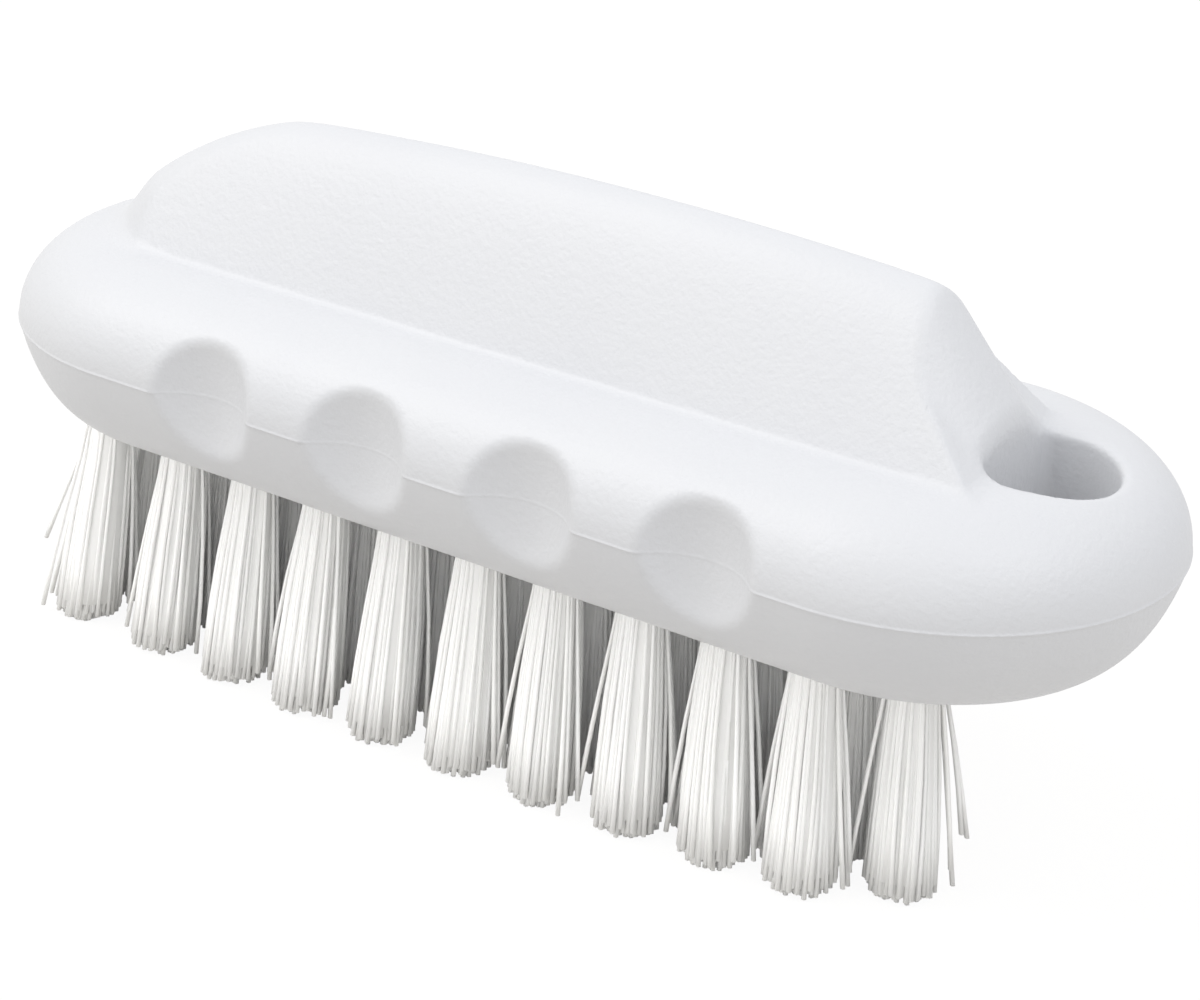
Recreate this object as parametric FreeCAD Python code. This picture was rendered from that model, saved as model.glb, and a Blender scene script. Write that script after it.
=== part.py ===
"""Nail brush: a one-piece moulded block with a grip ridge, bristle tufts and the anchors that hold them."""
import FreeCAD, Part
import math
import os

os.makedirs("parts", exist_ok=True)
V = FreeCAD.Vector

# Block: an oblong with half-round ends, standing on the bristle tips at z = 0.
block_length = 130.0
block_width = 48.2
bristle_length = 25.0
lower_edge_width = 8.8
lower_edge_height = 10.4
upper_edge_width = 10.7
upper_edge_height = 9.0

# Grip ridge on the block: bowed along its top, a round nose at one end and a cone at the hole end.
ridge_height = 15.3
ridge_radius = 2.4
ridge_peak_x = 5.0
crown_radius = 480.0
flank_angle = 63.6
nose_radius = 49.0
nose_foot_inset = 8.7
nose_drop = 0.3
nose_taper_share = 2.05
cone_foot_inset = 13.23
cone_angle = 47.2
cone_softness = 0.9
cone_run = 3.5
nose_softness = 0.9
ridge_foot_radius = 1.0
ridge_embed = 2.5
nose_tip_width = 8.0
nose_stations = 16
ridge_station_pitch = 1.8
ridge_strips = 24

# Hang hole through the bare end: a half round with a flat side and rounded corners.
hang_radius = 7.1
hang_inset = 13.5
hang_run = 2.9
hang_corner_radius = 1.6
hang_rim_radius = 1.0

# Finger scallops in both long sides, as many as their straight length takes.
scallop_pitch = 19.1
scallop_x = 1.5
scallop_radius = 7.0
scallop_depth = 3.0
scallop_half_height = 14.0
scallop_lift = 2.1
scallop_rim_radius = 1.0

# Tufts: straight rows, each leaning outwards in a hole drilled to match, and one more tuft before the hang hole.
row_count = 4
row_pitch = 6.8
least_column_pitch = 9.4
field_start_inset = 14.8
field_end_inset = 29.0
first_column_lead = 0.8
back_row_gap = 1
end_tuft_inset = 21.3
end_tuft_y = -5.6
tuft_hole_diameter = 4.4
tuft_hole_depth = 11.0
tuft_clearance = 0.05
tuft_tip_diameter = 7.4
tuft_tip_round = 1.6
tuft_rib_count = 18
tuft_rib_depth = 0.5
splay_x_share = 0.048
splay_y_share = 0.29
end_lean = 1.3
end_hold_share = 0.65

# Anchors: short lengths of flat wire, driven across each fold.
anchor_length = 5.4
anchor_height = 1.8
anchor_thickness = 0.35
anchor_cover = 1.6
mouth_gap = 0.02

# Levels and places worked out from the sizes above.
bottom_z = bristle_length
parting_z = bottom_z + lower_edge_height
shoulder_z = parting_z + upper_edge_height
ridge_z = shoulder_z + ridge_height
half_width = block_width / 2
half_length = block_length / 2
end_x = half_length - half_width
hang_x = half_length - hang_inset
hang_flat_x = hang_x - hang_run
scallop_count = int((end_x + end_x) / scallop_pitch)
field_start = field_start_inset - half_length
field_end = half_length - field_end_inset
field_x = (field_start + field_end) / 2
column_steps = int((field_end - field_start) / least_column_pitch)
column_pitch = (field_end - field_start) / column_steps
end_tuft_x = half_length - end_tuft_inset
flank_slope = math.tan(math.radians(flank_angle))
cone_slope = math.tan(math.radians(cone_angle))
ridge_bend = ridge_radius * flank_slope ** 2
nose_centre_z = ridge_z - nose_drop - nose_radius
nose_reach = math.sqrt(nose_radius ** 2 - (shoulder_z - nose_centre_z) ** 2)
nose_peak_x = nose_foot_inset - half_length + nose_reach
cone_x = half_length - cone_foot_inset - ridge_height / cone_slope
embed_z = shoulder_z - ridge_embed
cone_z = shoulder_z + ridge_height
tuft_radius = tuft_hole_diameter / 2
turn = 360.0
half_turn = 180.0


def quarter_ellipse(centre, across, up):
    """One quarter of an ellipse, from the end of one half axis to the end of the other."""
    long_end, short_end = (across, up) if across.Length >= up.Length else (up, across)
    ellipse = Part.Ellipse(centre + long_end, centre + short_end, centre)
    return Part.ArcOfEllipse(ellipse, 0, math.pi / 2).toShape()


def block_half_section():
    """The base's section on its +Y half: flat underside, two rounded edges, flat top."""
    lower_y = half_width - lower_edge_width
    upper_y = half_width - upper_edge_width
    lower_edge = quarter_ellipse(V(0, lower_y, parting_z), V(0, lower_edge_width, 0), V(0, 0, -lower_edge_height))
    upper_edge = quarter_ellipse(V(0, upper_y, parting_z), V(0, upper_edge_width, 0), V(0, 0, upper_edge_height))
    underside = Part.makeLine(V(0, 0, bottom_z), V(0, lower_y, bottom_z))
    top = Part.makeLine(V(0, upper_y, shoulder_z), V(0, 0, shoulder_z))
    middle = Part.makeLine(V(0, 0, shoulder_z), V(0, 0, bottom_z))
    return Part.Face(Part.Wire(Part.__sortEdges__([underside, lower_edge, upper_edge, top, middle])))


def base():
    """The oblong base: a straight length and two half-round ends of the same section."""
    section = block_half_section()
    front = section.mirror(V(0, 0, 0), V(0, 1, 0))
    pieces = []
    for half in (section, front):
        start = half.copy()
        start.translate(V(-end_x, 0, 0))
        pieces.append(start.extrude(V(end_x + end_x, 0, 0)))
    for side in (1, -1):
        start = section.copy()
        start.translate(V(side * end_x, 0, 0))
        pieces.append(start.revolve(V(side * end_x, 0, 0), V(0, 0, 1), -side * half_turn))
    return pieces[0].fuse(pieces[1:]).removeSplitter()


def soft_min(a, b, softness):
    """The smaller of two heights, rounded over where they meet."""
    return 0.5 * (a + b - math.hypot(a - b, softness))


def crown(x):
    """Height of the ridge line, bowed along its length."""
    return ridge_z - (x - ridge_peak_x) ** 2 / (2 * crown_radius)


def ridge_height_at(x, y):
    """Height of the grip's surface: both flanks, the round nose and the cone at the hole."""
    flank = crown(x) + ridge_bend - math.hypot(flank_slope * y, ridge_bend)
    run = (nose_peak_x - x) * abs(nose_peak_x - x)
    nose = nose_centre_z + math.sqrt(max(nose_radius ** 2 - run - (nose_taper_share * y) ** 2, 0))
    before = max(cone_x - x, 0)
    cone = cone_z - math.hypot(max(x - cone_x, 0), y) * cone_slope + before ** 2 / (2 * cone_run)
    return soft_min(soft_min(flank, nose, nose_softness), cone, cone_softness)


def ridge_half_width(x):
    """Half width of the grip a little below the shoulder, where its surface patch ends."""
    rise = crown(x) + ridge_bend - embed_z
    flank = math.sqrt(rise ** 2 - ridge_bend ** 2) / flank_slope
    if x > cone_x:
        reach = ((cone_z - embed_z) / cone_slope) ** 2 - (x - cone_x) ** 2
        return min(flank, math.sqrt(max(reach, 0)))
    if x < nose_peak_x:
        reach = nose_radius ** 2 - (embed_z - nose_centre_z) ** 2 - (x - nose_peak_x) ** 2
        return min(flank, math.sqrt(max(reach, 0)) / nose_taper_share)
    return flank


def ridge_rows():
    """Stations along the ridge, closer together round the nose."""
    reach = math.sqrt(nose_radius ** 2 - (embed_z - nose_centre_z) ** 2)
    first = math.asin(nose_tip_width / 2 * nose_taper_share / reach)
    last_x = cone_x + math.sqrt(((cone_z - embed_z) / cone_slope) ** 2 - nose_tip_width ** 2)
    nose = [first + (math.pi / 2 - first) * i / nose_stations for i in range(nose_stations)]
    rows = [nose_peak_x - reach * math.cos(angle) for angle in nose]
    steps = math.ceil((last_x - nose_peak_x) / ridge_station_pitch)
    rows += [nose_peak_x + (last_x - nose_peak_x) * i / steps for i in range(steps + 1)]
    return rows


def ridge():
    """The grip ridge: one smooth surface patch, drawn down into the base."""
    points = []
    for x in ridge_rows():
        reach = ridge_half_width(x)
        across = [reach * (2 * i / ridge_strips - 1) for i in range(ridge_strips + 1)]
        points.append([V(x, y, ridge_height_at(x, y)) for y in across])
    surface = Part.BSplineSurface()
    surface.interpolate(points)
    solid = surface.toShape().extrude(V(0, 0, -ridge_z))
    room = Part.makeBox(block_length, block_width, ridge_z, V(-half_length, -half_width, parting_z))
    return solid.common(room)


def hang_hole():
    """Cutter for the hang hole: a half round with a flat side towards the grip."""
    corner = hang_corner_radius
    corner_x = hang_flat_x + corner
    corner_y = hang_radius - corner
    diagonal = corner * math.sqrt(0.5)
    edges = [Part.Arc(V(hang_x, -hang_radius, 0), V(hang_x + hang_radius, 0, 0), V(hang_x, hang_radius, 0)).toShape()]
    for side in (1, -1):
        start, end = V(corner_x, side * hang_radius, 0), V(hang_flat_x, side * corner_y, 0)
        bend = V(corner_x - diagonal, side * (corner_y + diagonal), 0)
        edges.append(Part.makeLine(V(hang_x, side * hang_radius, 0), start))
        edges.append(Part.Arc(start, bend, end).toShape())
    edges.append(Part.makeLine(V(hang_flat_x, -corner_y, 0), V(hang_flat_x, corner_y, 0)))
    face = Part.Face(Part.Wire(Part.__sortEdges__(edges)))
    return face.extrude(V(0, 0, ridge_z + ridge_z))


def scallops():
    """Cutters for the finger scallops: upright ellipsoids along both long sides."""
    upper = quarter_ellipse(V(0, 0, 0), V(scallop_radius, 0, 0), V(0, 0, scallop_half_height))
    lower = quarter_ellipse(V(0, 0, 0), V(scallop_radius, 0, 0), V(0, 0, -scallop_half_height))
    axis = Part.makeLine(V(0, 0, -scallop_half_height), V(0, 0, scallop_half_height))
    face = Part.Face(Part.Wire(Part.__sortEdges__([upper, lower, axis])))
    ellipsoid = face.revolve(V(0, 0, 0), V(0, 0, 1), turn)
    cutters = []
    for side in (1, -1):
        y = side * (half_width + scallop_radius - scallop_depth)
        for i in range(scallop_count):
            cutter = ellipsoid.copy()
            x = scallop_x + (i - (scallop_count - 1) / 2) * scallop_pitch
            cutter.translate(V(x, y, parting_z + scallop_lift))
            cutters.append(cutter)
    return cutters


def tuft_places():
    """Places of the tufts at the mouths of their holes, row by row, then the single end tuft."""
    points = []
    for row in range(row_count):
        gap = back_row_gap if row == row_count - 1 else 0
        for column in range(column_steps + 1 - gap):
            lead = first_column_lead if column == 0 else 0
            x = field_start + column * column_pitch - lead
            points.append((x, (row - (row_count - 1) / 2) * row_pitch))
    points.append((end_tuft_x, end_tuft_y))
    return [leaning(x, y) for x, y in points]


def leaning(x, y):
    """Placement at a hole's mouth, with its Z axis along the hole: tufts lean away from the middle of the field.

    Towards both ends of the field they lean less to the sides, and a little more to the bare nose end.
    """
    run = x - field_x
    end = min(abs(run) / (field_end - field_x), 1)
    lean_x = run * splay_x_share - end_lean * end ** 4
    lean_y = y * splay_y_share * (1 - end_hold_share * end ** 2)
    return FreeCAD.Placement(V(x, y, bottom_z), FreeCAD.Rotation(V(0, 0, 1), V(-lean_x, -lean_y, bristle_length)))


def star(radius, height):
    """Corners of the ribbed outline of a bundle, one outer and one inner corner to each rib."""
    inner = radius * (1 - tuft_rib_depth / (tuft_tip_diameter / 2))
    corners = []
    for i in range(tuft_rib_count + tuft_rib_count):
        angle = math.pi * i / tuft_rib_count
        out = inner if i % 2 else radius
        corners.append(V(out * math.cos(angle), out * math.sin(angle), height))
    return corners


def ribbed(low, high):
    """Solid between two ribbed outlines that differ only in size and height, so that all its sides are flat."""
    faces = [Part.Face(Part.makePolygon(ring + ring[:1])) for ring in (low, high)]
    for i in range(len(low)):
        faces.append(Part.Face(Part.makePolygon([low[i - 1], low[i], high[i], high[i - 1], low[i - 1]])))
    return Part.Solid(Part.Shell(faces))


def tuft(place):
    """One bundle: the folded root in its hole, then the flared and ribbed free length, its trimmed tip rounded."""
    root = tuft_radius - tuft_clearance
    fold = tuft_hole_depth - mouth_gap
    flare = (tuft_tip_diameter / 2 - root) / bristle_length
    reach = bristle_length + tuft_tip_diameter
    shank = Part.makeCylinder(root, fold)
    bundle = shank.fuse(ribbed(star(root + flare * reach, -reach), star(root, 0)))
    bundle.Placement = place
    along = place.Rotation.multVec(V(0, 0, 1))
    tip = place.Base - along * (bottom_z / along.z)
    trim_radius = tuft_tip_diameter / 2 - tuft_tip_round
    trim = Part.makeCone(trim_radius, trim_radius + shoulder_z, shoulder_z, tip)
    return bundle.common(trim).cut(anchor(place))


def tuft_hole(place):
    """Cutter for one blind hole, run out past the block's underside."""
    hole = Part.makeCylinder(tuft_radius, tuft_hole_depth + tuft_radius, V(0, 0, -tuft_radius))
    hole.Placement = place
    return hole


def anchor(place):
    """A length of flat wire across the hole, held by both ends in the block."""
    corner = V(-anchor_length / 2, -anchor_thickness / 2, tuft_hole_depth - anchor_cover - anchor_height)
    wire = Part.makeBox(anchor_length, anchor_thickness, anchor_height)
    wire.Placement = place * FreeCAD.Placement(corner, FreeCAD.Rotation())
    return wire


def middle(edge):
    """The point half way along an edge."""
    return edge.valueAt((edge.FirstParameter + edge.LastParameter) / 2)


def scallop_rims(shape):
    """Edges round the finger scallops: those that bend away from the straight sides."""
    rims = []
    for edge in shape.Edges:
        box = edge.BoundBox
        nearest = min(abs(box.YMin), abs(box.YMax))
        if box.XLength > scallop_rim_radius and box.XLength < scallop_pitch and nearest > half_width - lower_edge_width:
            rims.append(edge)
    return [edge for edge in rims if abs(middle(edge).x) < end_x]


def foot_edges(shape):
    """Edges where the ridge stands on the base."""
    faces = [face for face in shape.Faces if face.BoundBox.ZMax > shoulder_z + ridge_height / 2]
    return [edge for face in faces for edge in face.Edges]


def hole_rims(shape):
    """Both rims of the hang hole: the edges of its walls that are not upright."""
    far_x = hang_x + hang_radius
    rims = []
    for face in shape.Faces:
        box = face.BoundBox
        inside = box.XMin > hang_flat_x - hang_rim_radius / 2 and box.XMax < far_x + hang_rim_radius / 2
        if inside and box.ZLength > upper_edge_height and abs(face.CenterOfMass.y) < hang_radius:
            rims += [edge for edge in face.Edges if edge.BoundBox.ZLength < upper_edge_height]
    return rims


def block(places):
    """The whole block: base and ridge, less the hang hole, scallops, tuft holes and anchor slots."""
    body = base().cut(scallops())
    body = body.makeFillet(scallop_rim_radius, scallop_rims(body))
    body = body.fuse(ridge())
    body = body.makeFillet(ridge_foot_radius, foot_edges(body))
    body = body.cut(hang_hole())
    body = body.makeFillet(hang_rim_radius, hole_rims(body))
    return body.cut([tuft_hole(place) for place in places] + [anchor(place) for place in places])


places = tuft_places()
block(places).exportStep("parts/block.step")
for number, place in enumerate(places, start=1):
    tuft(place).exportStep("parts/tuft_%02d.step" % number)
Part.makeCompound([anchor(place) for place in places]).exportStep("parts/anchors.step")
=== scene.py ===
"""White nail brush on a plain pale floor: a moulded block with a grip ridge, and tufts of nylon filaments."""
from __future__ import annotations

import logging
import math
from collections.abc import Callable
from dataclasses import dataclass, field
from enum import Enum

import bpy
import numpy as np
from mathutils import Matrix, Vector

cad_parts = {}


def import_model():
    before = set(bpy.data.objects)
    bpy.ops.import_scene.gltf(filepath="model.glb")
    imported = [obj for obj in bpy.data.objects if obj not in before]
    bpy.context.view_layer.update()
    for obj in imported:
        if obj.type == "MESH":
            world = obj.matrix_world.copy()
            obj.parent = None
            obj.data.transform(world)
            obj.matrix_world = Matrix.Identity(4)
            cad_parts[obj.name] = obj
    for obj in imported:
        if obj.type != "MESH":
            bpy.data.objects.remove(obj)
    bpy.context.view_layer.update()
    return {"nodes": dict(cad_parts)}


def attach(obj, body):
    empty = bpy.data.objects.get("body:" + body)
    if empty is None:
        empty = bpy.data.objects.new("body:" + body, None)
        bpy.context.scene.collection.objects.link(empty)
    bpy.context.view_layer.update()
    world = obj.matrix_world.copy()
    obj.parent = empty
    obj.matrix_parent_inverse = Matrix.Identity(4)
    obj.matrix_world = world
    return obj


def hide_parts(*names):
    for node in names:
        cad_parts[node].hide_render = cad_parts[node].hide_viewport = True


LOG = logging.getLogger("nail_brush")
MM = 0.001
BODY = "root"
GOLDEN_ANGLE = math.pi * (3 - math.sqrt(5))
# Keeps a division from failing at zero.
TINY = 1e-9
# How far a corner may leave its grid cell at each step towards the surface, as a share of the cell.
CELL_ROOM = (0.0, 0.0, 0.0, 0.3, 0.3)
# Colour sockets of a Mix node. Its other kinds of value have the same names, so they go by number.
MIX_COLOUR_A, MIX_COLOUR_B, MIX_COLOUR_RESULT = 6, 7, 2
# A distance field: x, y and z arrays in, distances out, negative inside.
Field = Callable[..., np.ndarray]


class Slot(str, Enum):
    """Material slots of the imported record."""

    BLOCK = "block"
    BRISTLE = "bristle"
    ANCHOR = "anchor"


def linear(colour: str) -> tuple[float, float, float, float]:
    """Turns an sRGB hex colour into linear red, green, blue and alpha, by the standard's curve.

    Args:
        colour: Six hex digits after a hash sign.

    Returns:
        The linear colour, fully opaque.
    """
    values = [int(colour[i:i + 2], 16) / 255 for i in (1, 3, 5)]
    red, green, blue = [v / 12.92 if v <= 0.04045 else ((v + 0.055) / 1.055) ** 2.4 for v in values]
    return red, green, blue, 1.0


def add_node(tree: bpy.types.NodeTree, kind: str, settings: dict[str, object] | None = None,
             numbered: dict[int, object] | None = None, **inputs: object) -> bpy.types.Node:
    """Adds a node, sets its properties and fills or links its inputs.

    Args:
        tree: The node tree that takes the node.
        kind: The node's type name.
        settings: Properties of the node itself.
        numbered: Socket numbers to values or to output sockets, where names repeat or are missing.
        **inputs: Socket names, with spaces as underscores, to values or to output sockets.

    Returns:
        The new node.
    """
    node = tree.nodes.new(kind)
    for name, value in (settings or {}).items():
        setattr(node, name, value)
    named = {name.replace("_", " "): value for name, value in inputs.items()}
    for key, value in {**(numbered or {}), **named}.items():
        socket = node.inputs[key]
        if isinstance(value, bpy.types.NodeSocket):
            tree.links.new(value, socket)
        else:
            socket.default_value = value
    return node


def new_material(name: str) -> tuple[bpy.types.Material, bpy.types.NodeTree]:
    """Makes an empty node material.

    Args:
        name: The material's name.

    Returns:
        The material and its node tree.
    """
    material = bpy.data.materials.new(name)
    material.use_nodes = True
    material.node_tree.nodes.clear()
    return material, material.node_tree


def round_union(a: np.ndarray, b: np.ndarray, radius: float | np.ndarray) -> np.ndarray:
    """Joins two distance fields with a hollow fillet: a quarter circle of that radius where they meet.

    Args:
        a: Distance to the first solid, negative inside.
        b: Distance to the second solid, negative inside.
        radius: Fillet radius.

    Returns:
        Distance to the joined solid.
    """
    bend = np.hypot(np.maximum(radius - a, 0), np.maximum(radius - b, 0))
    return np.maximum(radius, np.minimum(a, b)) - bend


def round_cut(a: np.ndarray, b: np.ndarray, radius: float | np.ndarray) -> np.ndarray:
    """Cuts the second solid from the first and rounds the rim: the same quarter circle, turned outwards.

    Args:
        a: Distance to the solid, negative inside.
        b: Distance to the cutter, negative inside.
        radius: Rim radius.

    Returns:
        Distance to what is left.
    """
    bend = np.hypot(np.maximum(radius + a, 0), np.maximum(radius - b, 0))
    return np.minimum(-radius, np.maximum(a, -b)) + bend


def soft_min(a: np.ndarray, b: np.ndarray, softness: float | np.ndarray) -> np.ndarray:
    """The smaller of two heights, rounded over where they meet."""
    return 0.5 * (a + b - np.hypot(a - b, softness))


def smooth_step(t: np.ndarray) -> np.ndarray:
    """Rises from 0 to 1 while its argument does, as a cubic with level ends."""
    t = np.clip(t, 0, 1)
    return t * t * (3 - 2 * t)


def zero_surface(distance: Field, axes: list[np.ndarray]) -> tuple[np.ndarray, np.ndarray]:
    """Quads of the surface where a field is zero.

    Each grid cell that the surface crosses gives one corner, drawn from the cell's middle onto the surface by
    Newton steps along the field's slope. Each grid edge that the surface crosses gives one quad, between the four
    cells round that edge.

    Args:
        distance: Field of x, y and z arrays, negative inside.
        axes: Rising grid positions along x, y and z.

    Returns:
        Corner points and the quads' corner numbers.
    """
    inside = distance(*np.meshgrid(*axes, indexing="ij", sparse=True)) < 0
    size_x, size_y, size_z = (n - 1 for n in inside.shape)
    corners = [inside[i:i + size_x, j:j + size_y, k:k + size_z] for i in (0, 1) for j in (0, 1) for k in (0, 1)]
    count = np.sum(corners, axis=0)
    crossed = (count > 0) & (count < len(corners))
    number = np.full(crossed.shape, -1)
    number[crossed] = np.arange(crossed.sum())
    cells = np.argwhere(crossed)
    low = np.stack([axis[cells[:, i]] for i, axis in enumerate(axes)], axis=1)
    high = np.stack([axis[cells[:, i] + 1] for i, axis in enumerate(axes)], axis=1)
    points = (low + high) / 2
    for share in CELL_ROOM:
        points = drawn_to(distance, points)
        room = (high - low) * share
        points = np.clip(points, low - room, high + room)
    quads = []
    for axis in range(3):
        state = np.moveaxis(inside, axis, 0)
        cell = np.moveaxis(number, axis, 0)
        start, end = state[:-1, 1:-1, 1:-1], state[1:, 1:-1, 1:-1]
        edge = start != end
        ring = [cell[:, :-1, :-1], cell[:, 1:, :-1], cell[:, 1:, 1:], cell[:, :-1, 1:]]
        quad = np.stack([part[edge] for part in ring], axis=1)
        turned = start[edge] == (axis == 1)
        quad[turned] = quad[turned][:, ::-1]
        quads.append(quad)
    faces = np.concatenate(quads)
    return without_spikes(distance, points, faces), faces


def without_spikes(distance: Field, points: np.ndarray, quads: np.ndarray, limit: float = 0.45,
                   steps: int = 2) -> np.ndarray:
    """Starts each point that stands out of its surroundings again, from the mean of its neighbours.

    Args:
        distance: Field of x, y and z arrays, negative inside.
        points: Points, one to a row.
        quads: The quads' corner numbers.
        limit: Largest distance from that mean, as a share of the mean distance to the neighbours.
        steps: Newton steps that take a point from that mean to the surface.

    Returns:
        The points.
    """
    here, there = quads.ravel(), np.roll(quads, -1, axis=1).ravel()
    count = np.bincount(here, minlength=len(points)) + TINY
    mean = np.stack([np.bincount(here, points[there, i], len(points)) / count for i in range(3)], axis=1)
    reach = np.bincount(here, np.linalg.norm(points[there] - points[here], axis=1), len(points)) / count
    stray = np.linalg.norm(points - mean, axis=1) > limit * reach
    again = mean[stray]
    for _ in range(steps):
        again = drawn_to(distance, again)
    apart = np.linalg.norm(again - mean[stray], axis=1) > limit * reach[stray]
    points[stray] = np.where(apart[:, None], mean[stray], again)
    LOG.info("points started again: %d", stray.sum())
    return points


def drawn_to(distance: Field, points: np.ndarray, step: float = 0.02, flattest: float = 0.05) -> np.ndarray:
    """Moves points one Newton step towards the surface where a field is zero.

    Args:
        distance: Field of x, y and z arrays, negative inside.
        points: Points, one to a row.
        step: Half the width of the central difference that gives the slope.
        flattest: Least square of the slope, so that no step is too long.

    Returns:
        The moved points.
    """
    shifts = np.eye(3) * step
    slope = np.stack([(distance(*(points + s).T) - distance(*(points - s).T)) / (2 * step) for s in shifts], axis=1)
    value = distance(*points.T)
    steep = np.maximum(np.sum(slope ** 2, axis=1), flattest)
    return points - slope * (value / steep)[:, None]


def mesh_piece(name: str, points: np.ndarray, faces: list[np.ndarray], smooth: list[bool]) -> bpy.types.Object:
    """Makes a mesh object at the origin from points in millimetres.

    Args:
        name: The piece's name.
        points: Points in millimetres, one to a row.
        faces: Arrays of corner numbers, one array for each number of corners.
        smooth: For each array, whether its faces are smooth shaded.

    Returns:
        The linked object.
    """
    mesh = bpy.data.meshes.new(name)
    loops = np.concatenate([f.ravel() for f in faces])
    totals = np.concatenate([np.full(len(f), f.shape[1]) for f in faces])
    mesh.vertices.add(len(points))
    mesh.vertices.foreach_set("co", (points * MM).astype(np.float32).ravel())
    mesh.loops.add(len(loops))
    mesh.loops.foreach_set("vertex_index", loops.astype(np.int32))
    mesh.polygons.add(len(totals))
    mesh.polygons.foreach_set("loop_start", (np.cumsum(totals) - totals).astype(np.int32))
    mesh.polygons.foreach_set("use_smooth", np.repeat(smooth, [len(f) for f in faces]))
    mesh.update(calc_edges=True)
    mesh.validate()
    piece = bpy.data.objects.new(name, mesh)
    bpy.context.scene.collection.objects.link(piece)
    return piece


def place_piece(piece: bpy.types.Object, material: bpy.types.Material, slot: Slot, *nodes: str) -> None:
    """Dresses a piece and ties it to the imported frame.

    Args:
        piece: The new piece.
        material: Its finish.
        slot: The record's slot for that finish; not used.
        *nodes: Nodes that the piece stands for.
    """
    piece.data.materials.append(material)
    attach(piece, BODY)
    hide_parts(*nodes)
    LOG.info("%s: %d faces", piece.name, len(piece.data.polygons))


@dataclass(frozen=True)
class MouldedPolypropylene:
    """White polypropylene from a spark-eroded mould: a matte skin with a fine leathery grain."""

    colour: str = "#DADBDD"
    shade: str = "#D6D7DA"
    roughness: float = 0.46
    ior: float = 1.49
    # A mould's grain is about 0.1 mm wide, too fine to show, so it is drawn coarser.
    grain_mm: float = 0.48
    grain_height_mm: float = 0.05
    cell_mm: float = 0.96
    cell_share: float = 0.5
    cell_smoothness: float = 0.6
    cloud_mm: float = 14.0
    cloud_detail: float = 3.0

    def make(self) -> bpy.types.Material:
        """Builds the finish: two sizes of grain as bump, and a slow cloud in the colour.

        Returns:
            The material.
        """
        material, tree = new_material("moulded_polypropylene")
        place = add_node(tree, "ShaderNodeTexCoord").outputs["Object"]
        grain = add_node(tree, "ShaderNodeTexNoise", Vector=place, Scale=1 / (self.grain_mm * MM))
        cells = add_node(tree, "ShaderNodeTexVoronoi", {"feature": "SMOOTH_F1"}, Vector=place,
                         Scale=1 / (self.cell_mm * MM), Smoothness=self.cell_smoothness)
        height = add_node(tree, "ShaderNodeMath", {"operation": "MULTIPLY_ADD"},
                          {0: cells.outputs["Distance"], 1: self.cell_share, 2: grain.outputs["Fac"]})
        bump = add_node(tree, "ShaderNodeBump", Strength=1.0, Distance=self.grain_height_mm * MM,
                        Height=height.outputs[0])
        cloud = add_node(tree, "ShaderNodeTexNoise", Vector=place, Scale=1 / (self.cloud_mm * MM),
                         Detail=self.cloud_detail)
        tint = add_node(tree, "ShaderNodeMix", {"data_type": "RGBA"},
                        {MIX_COLOUR_A: linear(self.colour), MIX_COLOUR_B: linear(self.shade)},
                        Factor=cloud.outputs["Fac"])
        shader = add_node(tree, "ShaderNodeBsdfPrincipled", Base_Color=tint.outputs[MIX_COLOUR_RESULT],
                          Roughness=self.roughness, IOR=self.ior, Normal=bump.outputs["Normal"])
        add_node(tree, "ShaderNodeOutputMaterial", Surface=shader.outputs[0])
        return material


@dataclass(frozen=True)
class NylonFilament:
    """Drawn white nylon: a smooth, slightly glossy thread that passes a little light."""

    colour: str = "#FDFDFC"
    shade: str = "#F8F8F6"
    roughness: float = 0.5
    ior: float = 1.53
    passing: float = 0.15

    def make(self) -> bpy.types.Material:
        """Builds the finish: each filament takes its own shade from the tone attribute.

        Returns:
            The material.
        """
        material, tree = new_material("drawn_nylon")
        tone = add_node(tree, "ShaderNodeAttribute", {"attribute_name": "tone"}).outputs["Fac"]
        tint = add_node(tree, "ShaderNodeMix", {"data_type": "RGBA"},
                        {MIX_COLOUR_A: linear(self.shade), MIX_COLOUR_B: linear(self.colour)}, Factor=tone)
        colour = tint.outputs[MIX_COLOUR_RESULT]
        shader = add_node(tree, "ShaderNodeBsdfPrincipled", Base_Color=colour, Roughness=self.roughness, IOR=self.ior)
        through = add_node(tree, "ShaderNodeBsdfTranslucent", Color=colour)
        both = add_node(tree, "ShaderNodeMixShader", None, {1: shader.outputs[0], 2: through.outputs[0]},
                        Fac=self.passing)
        add_node(tree, "ShaderNodeOutputMaterial", Surface=both.outputs[0])
        return material


@dataclass(frozen=True)
class DrawnSteel:
    """Flat stainless wire, drawn to size: bright metal with fine lines along its length."""

    colour: str = "#B8B8B6"
    roughness: float = 0.3
    line_mm: float = 0.06
    line_stretch: float = 20.0
    line_height_mm: float = 0.012
    line_strength: float = 0.2

    def make(self) -> bpy.types.Material:
        """Builds the finish: noise stretched along the wire gives the drawing lines.

        Returns:
            The material.
        """
        material, tree = new_material("drawn_stainless_wire")
        place = add_node(tree, "ShaderNodeTexCoord").outputs["Object"]
        along = add_node(tree, "ShaderNodeMapping", Vector=place, Scale=(1 / self.line_stretch, 1.0, 1.0))
        lines = add_node(tree, "ShaderNodeTexNoise", Vector=along.outputs[0], Scale=1 / (self.line_mm * MM))
        bump = add_node(tree, "ShaderNodeBump", Strength=self.line_strength, Distance=self.line_height_mm * MM,
                        Height=lines.outputs["Fac"])
        shader = add_node(tree, "ShaderNodeBsdfPrincipled", Base_Color=linear(self.colour), Metallic=1.0,
                          Roughness=self.roughness, Normal=bump.outputs["Normal"])
        add_node(tree, "ShaderNodeOutputMaterial", Surface=shader.outputs[0])
        return material


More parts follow.
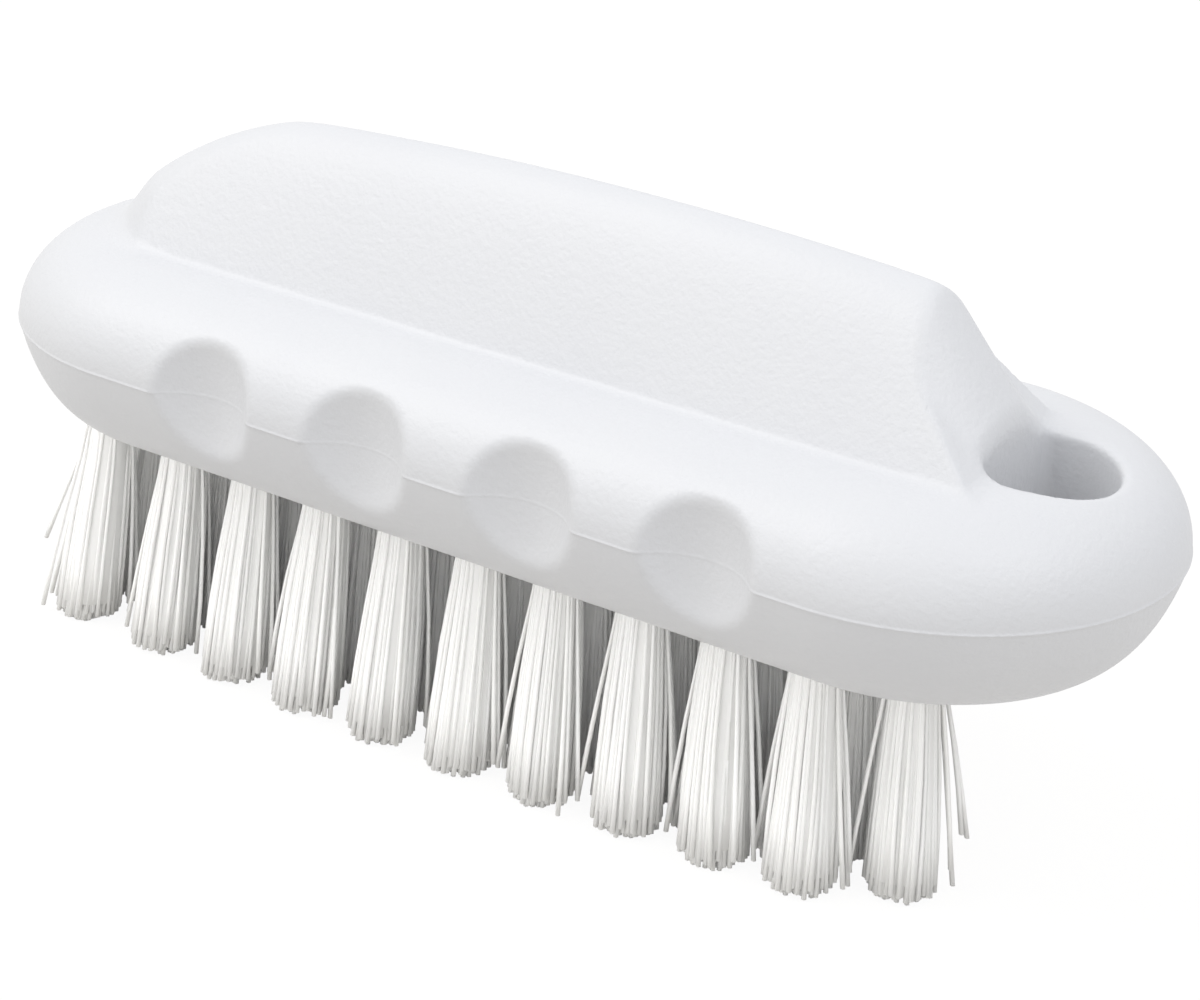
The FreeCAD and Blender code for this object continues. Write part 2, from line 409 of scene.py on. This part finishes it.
@dataclass
class Block:
    """The moulded block, as the zero surface of one distance field. Sizes in millimetres, angles in degrees."""

    # Base: each edge is the width and height of a quarter ellipse.
    length: float = 130.0
    width: float = 48.2
    bottom_z: float = 25.0
    lower_edge: tuple[float, float] = (8.8, 10.4)
    upper_edge: tuple[float, float] = (10.7, 9.0)
    draft: float = 0.22
    # Grip ridge.
    ridge_height: float = 15.3
    ridge_radius: float = 2.4
    ridge_peak_x: float = 5.0
    ridge_y: float = -0.8
    crown_radius: float = 480.0
    flank_angle: float = 63.6
    foot_radius: float = 0.45
    # Round nose at the grip's left end.
    nose_radius: float = 49.0
    nose_inset: float = 44.0
    nose_drop: float = 0.3
    nose_taper: float = 2.05
    nose_fullness: float = 0.9
    nose_softness: float = 0.35
    nose_run: float = 20.0
    nose_foot_slope: float = 1.3
    nose_foot_back: float = 0.9
    nose_foot_radius: float = 1.6
    nose_foot_x: float = 40.0
    nose_foot_run: float = 12.0
    # Sloping facet with a rib at the grip's right end.
    facet_x: float = 40.0
    facet_z: float = 53.59
    facet_angle: float = 41.9
    facet_lean: float = 0.3
    facet_lean_y: float = 3.0
    facet_softness: float = 0.3
    facet_top_softness: float = 0.8
    facet_top_width: float = 3.0
    facet_foot_radius: float = 0.7
    facet_foot_run: float = 8.0
    rib_height: float = 4.92
    rib_half_width: float = 7.28
    rib_fade: float = 0.36
    rib_power: float = 1.5
    # Hang hole.
    hang_radius: float = 7.1
    hang_inset: float = 13.5
    hang_run: float = 2.9
    hang_corner: float = 1.2
    hang_rim: float = 0.8
    hang_soft_rim: float = 0.9
    # Finger scallops.
    scallop_count: int = 4
    scallop_pitch: float = 19.1
    scallop_x: float = 1.5
    scallop_radius: float = 7.3
    scallop_depth: float = 3.2
    scallop_half_height: float = 14.5
    scallop_lift: float = 1.6
    scallop_rim: float = 0.45
    # Bead along the parting plane, which grows faint inside the scallops.
    bead_height: float = 0.09
    bead_width: float = 0.14
    bead_edge: float = 0.35
    bead_least: float = 0.1
    # Tuft holes.
    hole_radius: float = 2.2
    hole_depth: float = 2.0
    # Grid: cell sizes, and how far the close cells reach from the ends, the crease, the parting plane and the shoulder.
    cell: float = 0.6
    fine_cell: float = 0.3
    nose_cell: float = 0.42
    facet_cell: float = 0.36
    line_cell: float = 0.07
    nose_zone: tuple[float, float] = (5.0, 16.0)
    facet_zone: tuple[float, float] = (29.0, 3.0)
    crease_zone: tuple[float, float] = (1.0, 1.6)
    line_zone: float = 0.45
    shoulder_zone: tuple[float, float] = (0.9, 1.5)
    finish: MouldedPolypropylene = field(default_factory=MouldedPolypropylene)
    tuft_roots: np.ndarray = field(default_factory=lambda: np.zeros((0, 2)))

    @property
    def parting_z(self) -> float:
        """Height of the mould's parting plane."""
        return self.bottom_z + self.lower_edge[1]

    @property
    def shoulder_z(self) -> float:
        """Height of the flat shoulder round the ridge."""
        return self.parting_z + self.upper_edge[1]

    @property
    def ridge_z(self) -> float:
        """Height of the ridge line at its peak."""
        return self.shoulder_z + self.ridge_height

    def base(self, x: np.ndarray, y: np.ndarray, z: np.ndarray) -> np.ndarray:
        """Distance to the oblong: a section of two quarter ellipses, carried round a straight line's ends.

        Args:
            x: Places along the block.
            y: Places across it.
            z: Heights.

        Returns:
            Distance, negative inside.
        """
        end_x = (self.length - self.width) / 2
        out = np.hypot(np.maximum(np.abs(x) - end_x, 0), y)
        above = z > self.parting_z
        wide = np.where(above, self.upper_edge[0], self.lower_edge[0])
        tall = np.where(above, self.upper_edge[1], self.lower_edge[1])
        depth = np.clip(self.parting_z - z, 0, self.lower_edge[1])
        out = out + self.draft * depth * (1 - depth / self.lower_edge[1])
        across = np.maximum(out - (self.width / 2 - wide), 0) / wide
        up = (z - self.parting_z) / tall
        size = np.hypot(across, up) + TINY
        return (size - 1) * size / (np.hypot(across / wide, up / tall) + TINY)

    def ridge_height_at(self, x: np.ndarray, y: np.ndarray) -> np.ndarray:
        """Height of the grip, as the lowest of three surfaces with soft joins.

        Two flanks rise as a hyperbola across the block, from straight feet to a ridge line that is a parabola along
        it. The nose is a circle turned about an upright axis, with a sloping wall at its foot. The facet at the hang
        hole is a sloping plane with a rounded rib that fades out downwards, and it drops a little on the far side.

        Args:
            x: Places along the block.
            y: Places across it.

        Returns:
            Heights.
        """
        y = y - self.ridge_y
        slope = math.tan(math.radians(self.flank_angle))
        bend = self.ridge_radius * slope ** 2
        crown = self.ridge_z - (x - self.ridge_peak_x) ** 2 / (2 * self.crown_radius)
        share = (self.ridge_height + bend - np.hypot(slope * y, bend)) / self.ridge_height
        flank = self.shoulder_z + (crown - self.shoulder_z) * share
        past = x - self.nose_inset + self.length / 2
        run = np.hypot(np.maximum(-past, 0), self.nose_taper * y)
        centre_z = self.ridge_z - self.nose_drop - self.nose_radius
        foot = math.sqrt(self.nose_radius ** 2 - (self.shoulder_z - centre_z) ** 2)
        # Low down, the circle's square root goes on as its tangent, so that there is a slope everywhere.
        low = self.nose_radius / 2
        reach = self.nose_radius ** 2 - np.maximum(run - self.nose_fullness, 0) ** 2
        nose = np.where(reach > low ** 2, np.sqrt(np.maximum(reach, 0)), (reach + low ** 2) / (2 * low)) + centre_z
        wall = self.shoulder_z + (foot - self.nose_foot_back - run) * self.nose_foot_slope
        nose = soft_min(nose, wall, self.nose_softness) + np.maximum(past, 0) ** 2 / (2 * self.nose_run)
        rib = np.maximum(self.rib_height - self.rib_fade * (x - self.facet_x), 0)
        rib = rib * np.maximum(1 - (y / self.rib_half_width) ** 2, 0) ** self.rib_power
        facet = self.facet_z - (x - self.facet_x) * math.tan(math.radians(self.facet_angle)) + rib
        facet = facet - self.facet_lean * np.maximum(y - self.facet_lean_y, 0)
        softness = self.facet_softness + self.facet_top_softness * np.exp(-(y / self.facet_top_width) ** 2)
        return soft_min(soft_min(flank, nose, self.nose_softness), facet, softness)

    def ridge(self, x: np.ndarray, y: np.ndarray, z: np.ndarray) -> np.ndarray:
        """Distance to the grip: height over its surface, divided by the surface's steepness.

        Below, the grip ends inside the base, half way down its upper edge.

        Args:
            x: Places along the block.
            y: Places across it.
            z: Heights.

        Returns:
            Distance, negative inside.
        """
        step = 0.05
        height = self.ridge_height_at(x, y)
        rise_x = (self.ridge_height_at(x + step, y) - self.ridge_height_at(x - step, y)) / (2 * step)
        rise_y = (self.ridge_height_at(x, y + step) - self.ridge_height_at(x, y - step)) / (2 * step)
        over = (z - height) / np.sqrt(1 + rise_x ** 2 + rise_y ** 2)
        return np.maximum(over, self.shoulder_z - self.upper_edge[1] / 2 - z)

    def hang_hole(self, x: np.ndarray, y: np.ndarray) -> np.ndarray:
        """Distance to the hang hole in plan: a half disc, then a straight side with round corners.

        Args:
            x: Places along the block.
            y: Places across it.

        Returns:
            Distance, negative inside.
        """
        along = x - (self.length / 2 - self.hang_inset)
        disc = np.hypot(along, y) - self.hang_radius
        past = np.maximum(self.hang_corner - self.hang_run - along, 0)
        beside = np.maximum(np.abs(y) - self.hang_radius + self.hang_corner, 0)
        return np.where(along > 0, disc, np.hypot(past, beside) - self.hang_corner)

    def scallop(self, x: np.ndarray, y: np.ndarray, z: np.ndarray) -> np.ndarray:
        """Distance to the nearest finger scallop: an upright ellipsoid of revolution, repeated along both sides.

        Args:
            x: Places along the block.
            y: Places across it.
            z: Heights.

        Returns:
            Distance, negative inside.
        """
        start = self.scallop_x - (self.scallop_count - 1) / 2 * self.scallop_pitch
        nearest = np.clip(np.round((x - start) / self.scallop_pitch), 0, self.scallop_count - 1)
        along = x - start - nearest * self.scallop_pitch
        across = self.width / 2 + self.scallop_radius - self.scallop_depth - np.abs(y)
        up = z - self.parting_z - self.scallop_lift
        flat = np.hypot(along, across)
        size = np.hypot(flat / self.scallop_radius, up / self.scallop_half_height) + TINY
        slope = np.hypot(flat / self.scallop_radius ** 2, up / self.scallop_half_height ** 2) + TINY
        return (size - 1) * size / slope

    def tuft_hole(self, x: np.ndarray, y: np.ndarray, z: np.ndarray) -> np.ndarray:
        """Distance to the nearest tuft hole, as deep as can be seen past the filaments.

        Args:
            x: Places along the block.
            y: Places across it.
            z: Heights.

        Returns:
            Distance, negative inside.
        """
        near = np.full(np.broadcast(x, y).shape, self.length)
        for root_x, root_y in self.tuft_roots:
            near = np.minimum(near, np.hypot(x - root_x, y - root_y))
        return np.maximum(near - self.hole_radius, z - self.bottom_z - self.hole_depth)

    def distance(self, x: np.ndarray, y: np.ndarray, z: np.ndarray) -> np.ndarray:
        """Distance to the whole block: base and ridge with a fillet, less the scallops and holes.

        A fine bead, a bell curve in height, runs along the parting plane.

        Args:
            x: Places along the block.
            y: Places across it.
            z: Heights.

        Returns:
            Distance, negative inside.
        """
        nose = smooth_step((-x - self.nose_foot_x) / self.nose_foot_run)
        facet = smooth_step((x - self.facet_x) / self.facet_foot_run)
        foot = self.foot_radius + nose * (self.nose_foot_radius - self.foot_radius)
        foot = foot + facet * (self.facet_foot_radius - self.foot_radius)
        solid = round_union(self.base(x, y, z), self.ridge(x, y, z), foot)
        scallop = self.scallop(x, y, z)
        solid = round_cut(solid, scallop, self.scallop_rim)
        bead = self.bead_height * np.exp(-((z - self.parting_z) / self.bead_width) ** 2)
        solid = solid - bead * np.clip(scallop + self.bead_edge, self.bead_least, 1)
        left = np.clip((self.length / 2 - self.hang_inset - x) / self.hang_run, 0, 1)
        rim = self.hang_rim + (self.hang_soft_rim - self.hang_rim) * left
        solid = round_cut(solid, self.hang_hole(x, y), rim)
        return np.maximum(solid, -self.tuft_hole(x, y, z))

    def axes(self) -> list[np.ndarray]:
        """Grid positions: wide cells, and close ones at the crease, the nose, the facet and the parting plane.

        Returns:
            Positions along x, y and z.
        """
        half_length, half_width, margin = self.length / 2, self.width / 2, 2 * self.cell
        slope = math.tan(math.radians(self.flank_angle))
        crease = math.sqrt((self.ridge_height / slope) ** 2 + 2 * self.ridge_height * self.ridge_radius)
        outer, inner = crease + self.crease_zone[0], crease - self.crease_zone[1]
        x = self.steps([(-half_length - margin, self.cell), (-half_length + self.nose_zone[0], self.nose_cell),
                        (-half_length + self.nose_zone[1], self.cell),
                        (half_length - self.facet_zone[0], self.facet_cell),
                        (half_length - self.facet_zone[1], self.cell), (half_length + margin, self.cell)])
        y = self.steps([(-half_width - margin, self.cell), (-outer, self.fine_cell), (-inner, self.cell),
                        (inner, self.fine_cell), (outer, self.cell), (half_width + margin, self.cell)])
        z = self.steps([(self.bottom_z - margin, self.cell), (self.parting_z - self.line_zone, self.line_cell),
                        (self.parting_z + self.line_zone, self.cell),
                        (self.shoulder_z - self.shoulder_zone[0], self.fine_cell),
                        (self.shoulder_z + self.shoulder_zone[1], self.cell), (self.ridge_z + margin, self.cell)])
        return [x, y, z]

    def steps(self, marks: list[tuple[float, float]]) -> np.ndarray:
        """Rising positions through some marks.

        Args:
            marks: Each mark's place, and the step from there to the next mark.

        Returns:
            The positions.
        """
        parts = [np.linspace(a, b, max(round((b - a) / step), 1), endpoint=False)
                 for (a, step), (b, _) in zip(marks, marks[1:])]
        return np.concatenate([*parts, [marks[-1][0]]])

    def build(self) -> bpy.types.Object:
        """Builds and dresses the block.

        Returns:
            The piece.
        """
        points, quads = zero_surface(self.distance, self.axes())
        piece = mesh_piece("moulded_block", points, [quads], [True])
        place_piece(piece, self.finish.make(), Slot.BLOCK, "block")
        return piece


@dataclass
class Tufts:
    """All bristle tufts: bundles of single filaments that leave their holes and flare. Sizes in millimetres."""

    # The underside of the block, and how far the filaments reach up into their holes.
    bottom_z: float
    root_depth: float
    # Real filaments are finer, and more to a tuft. They are too fine to show, so fewer and thicker ones are drawn.
    filaments: int = 200
    thickness: float = 0.54
    root_thickness: float = 0.38
    sides: int = 5
    rings: int = 5
    # Tips: a domed cut with a ragged face, and filaments that wander and bow a little.
    ragged: float = 1.2
    dome: float = 1.1
    dome_power: int = 4
    fullness: float = 0.2
    flare_wander: float = 0.02
    bow: float = 0.2
    bow_wander: float = 0.15
    # Core behind the outer filaments.
    core_share: float = 0.97
    core_end: float = 2.2
    core_sides: int = 20
    core_tone: float = 0.5
    # Strays: their reach as a multiple of the flare, and the heights of their ends.
    strays: int = 6
    stray_reach: float = 1.4
    stray_reach_wander: tuple[float, float] = (-0.12, 0.08)
    stray_turn_wander: float = 0.4
    stray_ends: tuple[float, float] = (0.3, 2.2)
    long_strays: dict[str, list[tuple[float, float, float]]] = field(default_factory=lambda: {
        "tuft_01": [(-8.8, 2.6, 5.2)], "tuft_40": [(4.3, 4.7, 5.0), (4.0, 4.0, 5.6), (4.4, 1.6, 3.0)]})
    # Slices of a packed tuft that give its tip, its flare and its root.
    tip_slice: float = 0.05
    flare_slice: float = 3.0
    root_slice: float = 1.0
    finish: NylonFilament = field(default_factory=NylonFilament)
    seed: int = 7
    pieces: list[bpy.types.Object] = field(default_factory=list)

    def measure(self, node: bpy.types.Object) -> tuple[np.ndarray, np.ndarray, float, np.ndarray]:
        """Reads a tuft's place from its node.

        Args:
            node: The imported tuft.

        Returns:
            Middle of its mouth, middle of its tip, its root radius and the half widths of its tip.
        """
        points = np.zeros(len(node.data.vertices) * 3, np.float32)
        node.data.vertices.foreach_get("co", points)
        points = points.reshape(-1, 3) / MM
        tip = points[points[:, 2] < self.tip_slice][:, :2]
        flare = points[points[:, 2] < self.flare_slice][:, :2]
        top = points[points[:, 2] > points[:, 2].max() - self.root_slice][:, :2]
        tip_mid = (tip.min(0) + tip.max(0)) / 2
        top_mid = (top.min(0) + top.max(0)) / 2
        share = self.bottom_z / points[:, 2].max()
        mouth = tip_mid + (top_mid - tip_mid) * share
        return mouth, tip_mid, float(np.ptp(top[:, 1]) / 2), np.ptp(flare, axis=0) / 2

    def bundle(self, mouth: np.ndarray, tip: np.ndarray, root: float, spread: np.ndarray,
               far: list[tuple[float, float, float]],
               draw: np.random.Generator) -> tuple[np.ndarray, list[np.ndarray], np.ndarray]:
        """Works out one tuft's filaments.

        The filaments are laid out as seeds in a sunflower. Each one runs from its place in the root to its place in
        the flared tip, bent a little, and is a tube of a few sides with a flat cut end.

        Args:
            mouth: Middle of the tuft at the mouth of its hole.
            tip: Middle of its tip.
            root: Radius of its root.
            spread: Half widths of its tip.
            far: Ends of its longest strays, from the middle of the tip.
            draw: Source of random numbers.

        Returns:
            Points, faces by number of corners, and a tone for each point.
        """
        n = self.filaments
        order = np.arange(n)
        out = np.sqrt((order + 0.5) / n)
        turn = order * GOLDEN_ANGLE + draw.uniform(0, 2 * math.pi)
        flare = out + draw.normal(0, self.flare_wander, n)
        loose = n - self.strays + np.arange(self.strays)
        turn[loose] = np.arange(self.strays) * math.pi + draw.normal(0, self.stray_turn_wander, self.strays)
        flare[loose] = self.stray_reach + draw.uniform(*self.stray_reach_wander, self.strays)
        away = np.stack([np.cos(turn), np.sin(turn)], axis=1)
        start = mouth + away * (out * (root - self.root_thickness / 2))[:, None]
        end = tip + away * flare[:, None] * (spread + self.fullness - self.thickness / 2)
        cut = self.dome * out ** self.dome_power + draw.uniform(-0.5, 0.5, n) * self.ragged
        cut[loose] = draw.uniform(*self.stray_ends, self.strays)
        for stray, (end_x, end_y, end_z) in zip(loose, far):
            end[stray] = tip + (end_x, end_y)
            away[stray] = np.array((end_x, end_y)) / math.hypot(end_x, end_y)
            start[stray] = mouth + away[stray] * root
            cut[stray] = end_z
        share = np.linspace(0, 1, self.rings)
        height = self.bottom_z + (np.maximum(cut, 0)[:, None] - self.bottom_z) * share
        bow = draw.normal(0, self.bow_wander, (n, 2)) + away * self.bow
        middle = start[:, None] + (end - start)[:, None] * share[:, None]
        middle = middle + bow[:, None] * (4 * share * (1 - share))[:, None]
        height[:, 0] += self.root_depth
        angle = np.linspace(0, 2 * math.pi, self.sides, endpoint=False)
        radius = (self.root_thickness + (self.thickness - self.root_thickness) * share) / 2
        ring = np.stack([np.cos(angle), np.sin(angle)], axis=1)[None] * radius[:, None, None]
        flat = middle[:, :, None] + ring
        tall = np.broadcast_to(height[:, :, None, None], (*flat.shape[:3], 1))
        points = np.concatenate([flat, tall], axis=3).reshape(-1, 3)
        number = np.arange(len(points)).reshape(n, self.rings, self.sides)
        after = np.roll(number, -1, axis=2)
        walls = np.stack([number[:, :-1], number[:, 1:], after[:, 1:], after[:, :-1]], axis=-1).reshape(-1, 4)
        ends = number[:, -1, ::-1]
        tone = np.repeat(draw.uniform(0, 1, n), self.rings * self.sides)
        core, core_walls, core_ends = self.core(mouth, tip, root, float(spread.mean()))
        faces = [np.concatenate([walls, core_walls + len(points)]), ends, core_ends + len(points)]
        tone = np.concatenate([tone, np.full(len(core), self.core_tone)])
        return np.concatenate([points, core]), faces, tone

    def core(self, mouth: np.ndarray, tip: np.ndarray, root: float,
             spread: float) -> tuple[np.ndarray, np.ndarray, np.ndarray]:
        """Works out the closely packed inside of a tuft, which shows only as a pale ground between the filaments.

        It is a round tube with closed ends, whose radius grows evenly from root to tip.

        Args:
            mouth: Middle of the tuft at the mouth of its hole.
            tip: Middle of its tip.
            root: Radius of its root.
            spread: Mean radius of its tip.

        Returns:
            Points, quads of the wall and both ends.
        """
        height = np.linspace(self.bottom_z + self.root_depth, self.core_end, self.rings)
        down = np.clip(1 - height / self.bottom_z, 0, 1)
        radius = self.core_share * (root + (spread - root) * down)
        angle = np.linspace(0, 2 * math.pi, self.core_sides, endpoint=False)
        ring = np.stack([np.cos(angle), np.sin(angle)], axis=1)
        flat = (mouth + (tip - mouth) * down[:, None])[:, None] + ring * radius[:, None, None]
        tall = np.broadcast_to(height[:, None, None], (*flat.shape[:2], 1))
        points = np.concatenate([flat, tall], axis=2).reshape(-1, 3)
        number = np.arange(len(points)).reshape(self.rings, self.core_sides)
        after = np.roll(number, -1, axis=1)
        walls = np.stack([number[:-1], number[1:], after[1:], after[:-1]], axis=-1).reshape(-1, 4)
        return points, walls, np.stack([number[0], number[-1, ::-1]])

    def build(self, nodes: dict[str, bpy.types.Object]) -> np.ndarray:
        """Builds and dresses every tuft.

        Args:
            nodes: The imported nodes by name.

        Returns:
            Middles of the tufts' mouths, one to a row.
        """
        material = self.finish.make()
        draw = np.random.default_rng(self.seed)
        mouths = []
        for name in sorted(n for n in nodes if n.startswith("tuft_")):
            mouth, tip, root, spread = self.measure(nodes[name])
            points, faces, tone = self.bundle(mouth, tip, root, spread, self.long_strays.get(name, []), draw)
            piece = mesh_piece(f"{name}_filaments", points, faces, [True, False, False])
            piece.data.attributes.new("tone", "FLOAT", "POINT").data.foreach_set("value", tone.astype(np.float32))
            place_piece(piece, material, Slot.BRISTLE, name)
            self.pieces.append(piece)
            mouths.append(mouth)
        return np.array(mouths)


@dataclass(frozen=True)
class SoftLight:
    """A square lamp that faces the brush. Sizes in millimetres, power in watts."""

    name: str
    place: tuple[float, float, float]
    size: float
    power: float
    colour: str = "#FFFFFF"


@dataclass
class Studio:
    """Floor, light and camera. Sizes in millimetres, angles in degrees."""

    azimuth: float = 32.74
    elevation: float = 24.04
    roll: float = 3.19
    distance: float = 289.43
    aim: tuple[float, float, float] = (5.28, -0.96, 27.19)
    lens: float = 87.26
    sensor: float = 36.0
    clip_m: tuple[float, float] = (0.01, 100.0)
    floor_size: float = 6000.0
    floor_colour: str = "#D7D4CF"
    floor_white: float = 1.06
    floor_shadow: float = 0.12
    sky_colour: str = "#F6F7F9"
    sky_strength: float = 0.82
    sky_white: float = 1.0
    white: str = "#FFFFFF"
    room_lights: tuple[SoftLight, ...] = (SoftLight("key", (-420, -330, 700), 500, 3.1, "#FFFDFA"),
                                          SoftLight("fill", (480, -60, 650), 500, 1.5, "#FAFBFF"))
    tuft_lights: tuple[SoftLight, ...] = (SoftLight("left_tuft_light", (-420, -540, 110), 700, 3.0),
                                          SoftLight("right_tuft_light", (380, -540, 110), 700, 1.6))

    def camera(self) -> None:
        """Makes the camera: it looks at the aim point from the photograph's angle, turned by a small roll."""
        a, e, r = (math.radians(v) for v in (self.azimuth, self.elevation, self.roll))
        ahead = Vector((-math.sin(a) * math.cos(e), math.cos(a) * math.cos(e), -math.sin(e)))
        level = Vector((math.cos(a), math.sin(a), 0.0))
        upright = level.cross(ahead)
        right = math.cos(r) * level + math.sin(r) * upright
        up = math.cos(r) * upright - math.sin(r) * level
        data = bpy.data.cameras.new("camera")
        data.lens = self.lens
        data.sensor_width = self.sensor
        data.clip_start, data.clip_end = self.clip_m
        camera = bpy.data.objects.new("camera", data)
        bpy.context.scene.collection.objects.link(camera)
        eye = (Vector(self.aim) - ahead * self.distance) * MM
        camera.matrix_world = Matrix.Translation(eye) @ Matrix((right, up, -ahead)).transposed().to_4x4()
        bpy.context.scene.camera = camera

    def lamp(self, light: SoftLight) -> bpy.types.Object:
        """Adds a soft light, turned to face the aim point.

        Args:
            light: The lamp's place, size, power and colour.

        Returns:
            The lamp.
        """
        data = bpy.data.lights.new(light.name, "AREA")
        data.energy, data.size, data.color = light.power, light.size * MM, linear(light.colour)[:3]
        lamp = bpy.data.objects.new(light.name, data)
        bpy.context.scene.collection.objects.link(lamp)
        lamp.location = Vector(light.place) * MM
        lamp.rotation_euler = (Vector(self.aim) * MM - lamp.location).to_track_quat("-Z", "Y").to_euler()
        return lamp

    def light_tufts(self, pieces: list[bpy.types.Object]) -> None:
        """Adds two low lamps that reach under the block and light only the tufts.

        Args:
            pieces: The tufts.
        """
        group = bpy.data.collections.new("lit_tufts")
        for piece in pieces:
            group.objects.link(piece)
        for light in self.tuft_lights:
            self.lamp(light).light_linking.receiver_collection = group

    def white_for_camera(self, tree: bpy.types.NodeTree, strength: float, lit: bpy.types.NodeSocket,
                         kept: float) -> bpy.types.NodeSocket:
        """Mixes a plain white for camera, glossy and transmission rays with what lights the object.

        Args:
            tree: The node tree.
            strength: The white's strength.
            lit: The shader for all other rays.
            kept: Share of that shader which the camera still sees.

        Returns:
            The mixed shader's output.
        """
        path = add_node(tree, "ShaderNodeLightPath")
        seen = path.outputs["Is Camera Ray"]
        for name in ("Is Glossy Ray", "Is Transmission Ray"):
            either = add_node(tree, "ShaderNodeMath", {"operation": "MAXIMUM"}, {0: seen, 1: path.outputs[name]})
            seen = either.outputs[0]
        share = add_node(tree, "ShaderNodeMath", {"operation": "MULTIPLY"}, {0: seen, 1: 1 - kept})
        kind = "ShaderNodeBackground" if isinstance(tree.id_data, bpy.types.World) else "ShaderNodeEmission"
        white = add_node(tree, kind, Color=linear(self.white), Strength=strength)
        mixed = add_node(tree, "ShaderNodeMixShader", None, {1: lit, 2: white.outputs[0]}, Fac=share.outputs[0])
        return mixed.outputs[0]

    def floor(self) -> None:
        """Makes the floor: pale and slightly warm as the brush sees it, white to the camera, with a faint shadow."""
        half = self.floor_size / 2
        points = np.array([(-half, -half, 0), (half, -half, 0), (half, half, 0), (-half, half, 0)])
        floor = mesh_piece("floor", points, [np.array([[0, 1, 2, 3]])], [False])
        material, tree = new_material("pale_floor")
        matte = add_node(tree, "ShaderNodeBsdfDiffuse", Color=linear(self.floor_colour))
        seen = self.white_for_camera(tree, self.floor_white, matte.outputs[0], self.floor_shadow)
        add_node(tree, "ShaderNodeOutputMaterial", Surface=seen)
        floor.data.materials.append(material)

    def sky(self) -> None:
        """Makes the world: an even soft white, and plain white to the camera."""
        world = bpy.data.worlds.new("soft_white")
        bpy.context.scene.world = world
        world.use_nodes = True
        tree = world.node_tree
        tree.nodes.clear()
        light = add_node(tree, "ShaderNodeBackground", Color=linear(self.sky_colour), Strength=self.sky_strength)
        seen = self.white_for_camera(tree, self.sky_white, light.outputs[0], kept=0.0)
        add_node(tree, "ShaderNodeOutputWorld", Surface=seen)

    def build(self) -> None:
        """Builds the stage."""
        bpy.context.scene.view_settings.view_transform = "Standard"
        self.floor()
        self.sky()
        for light in self.room_lights:
            self.lamp(light)
        self.camera()


def main() -> None:
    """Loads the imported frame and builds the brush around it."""
    logging.basicConfig(level=logging.INFO, format="%(name)s: %(message)s")
    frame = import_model()
    studio = Studio()
    studio.build()
    block = Block()
    tufts = Tufts(block.bottom_z, block.hole_depth)
    block.tuft_roots = tufts.build(frame["nodes"])
    block.build()
    studio.light_tufts(tufts.pieces)
    anchors = frame["nodes"]["anchors"]
    anchors.data.materials.clear()
    anchors.data.materials.append(DrawnSteel().make())
    LOG.info("anchors: hidden in the block")


if __name__ == "__main__":
    main()
